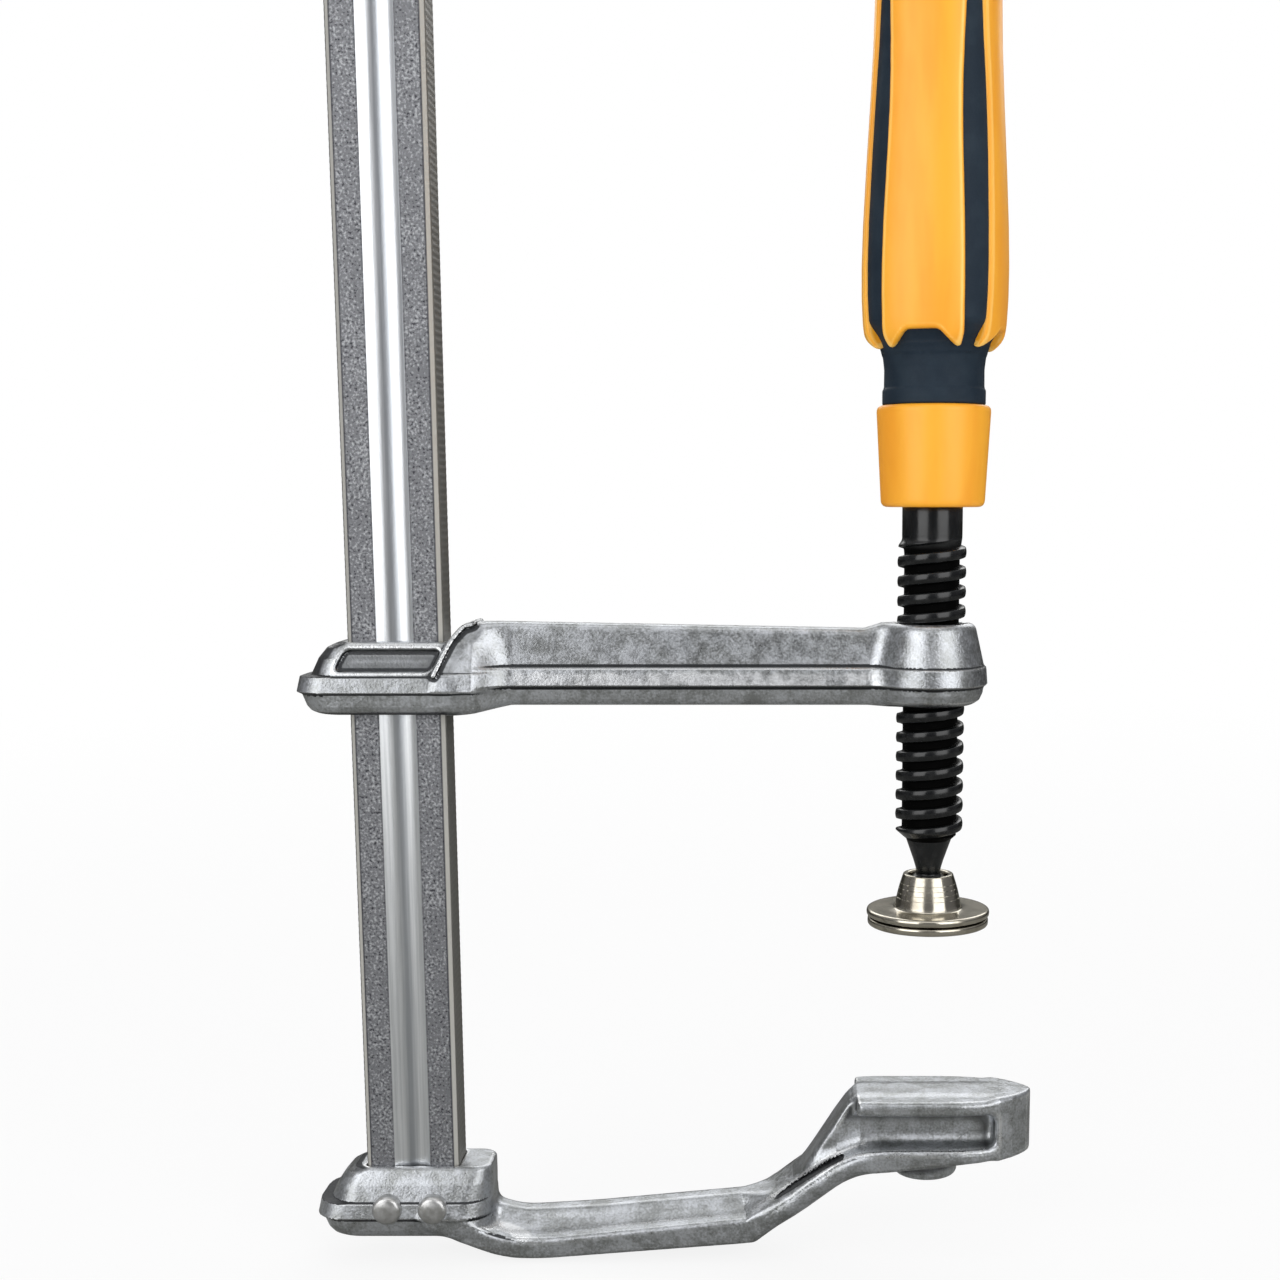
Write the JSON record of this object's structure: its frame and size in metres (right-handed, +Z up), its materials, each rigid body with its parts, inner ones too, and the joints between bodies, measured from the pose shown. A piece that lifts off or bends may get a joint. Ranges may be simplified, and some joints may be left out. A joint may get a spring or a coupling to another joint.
{
  "type": "sliding-arm welding clamp",
  "caption": "Sliding-arm F-clamp with a grooved rail, step-over fixed arm, forged sliding arm, threaded screw, swivel pad and a two-colour moulded handle.",
  "frame": {"origin": "centre of the anvil's contact face, on the axis of the screw", "axes": "+Z up along the rail and the screw, +X from the rail towards the screw, Y across the thickness of the clamp"},
  "size_m": [0.1731, 0.0334, 0.3431],
  "materials": {
    "rail_zinc": "grit-blasted zinc plate with a bright drawn groove",
    "forged_zinc": "satin zinc-plated forging",
    "pin_steel": "plain zinc-plated steel",
    "black_oxide": "black oxide, lightly oiled",
    "hardened_steel": "hardened and ground",
    "bright_nickel": "bright nickel plate",
    "amber_plastic": "satin-gloss moulded plastic",
    "navy_elastomer": "matt moulded elastomer"
  },
  "bodies": {
    "frame": {"rail": "rail_zinc", "rail_stop_pin": "pin_steel", "fixed_arm": "forged_zinc", "fixed_arm_rivet_left": "pin_steel", "fixed_arm_rivet_right": "pin_steel"},
    "sliding_jaw": {"sliding_arm": "forged_zinc"},
    "swivel_core": {"thrust_button": "hardened_steel"},
    "screw": {"spindle": "black_oxide", "handle_collar": "amber_plastic", "handle_core": "amber_plastic", "handle_grip": "navy_elastomer"},
    "swivel_seat": {"ball_seat": "hardened_steel"},
    "pad": {"pad_cup": "bright_nickel", "pad_base": "bright_nickel"}
  },
  "joints": [
    {"name": "arm_slide", "type": "slide", "parent": "frame", "child": "sliding_jaw", "axis": [0, 0, 1], "range_m": [-0.0198, 0.1845]},
    {"name": "screw_travel", "type": "slide", "parent": "sliding_jaw", "child": "swivel_core", "axis": [0, 0, 1], "range_m": [-0.0174, 0.0305]},
    {"name": "screw_turn", "type": "hinge", "parent": "swivel_core", "child": "screw", "pos_m": [0, 0, 0.0493], "axis": [0, 0, 1], "range_deg": [-1380, 2415]},
    {"name": "pad_tilt_x", "type": "hinge", "parent": "swivel_core", "child": "swivel_seat", "pos_m": [0, 0, 0.0493], "axis": [1, 0, 0], "range_deg": [-10, 10]},
    {"name": "pad_tilt_y", "type": "hinge", "parent": "swivel_seat", "child": "pad", "pos_m": [0, 0, 0.0493], "axis": [0, 1, 0], "range_deg": [-10, 10]}
  ],
  "couplings": [
    {"joint": "screw_turn", "follows": "screw_travel", "rad_per_m": 1380.9}
  ]
}
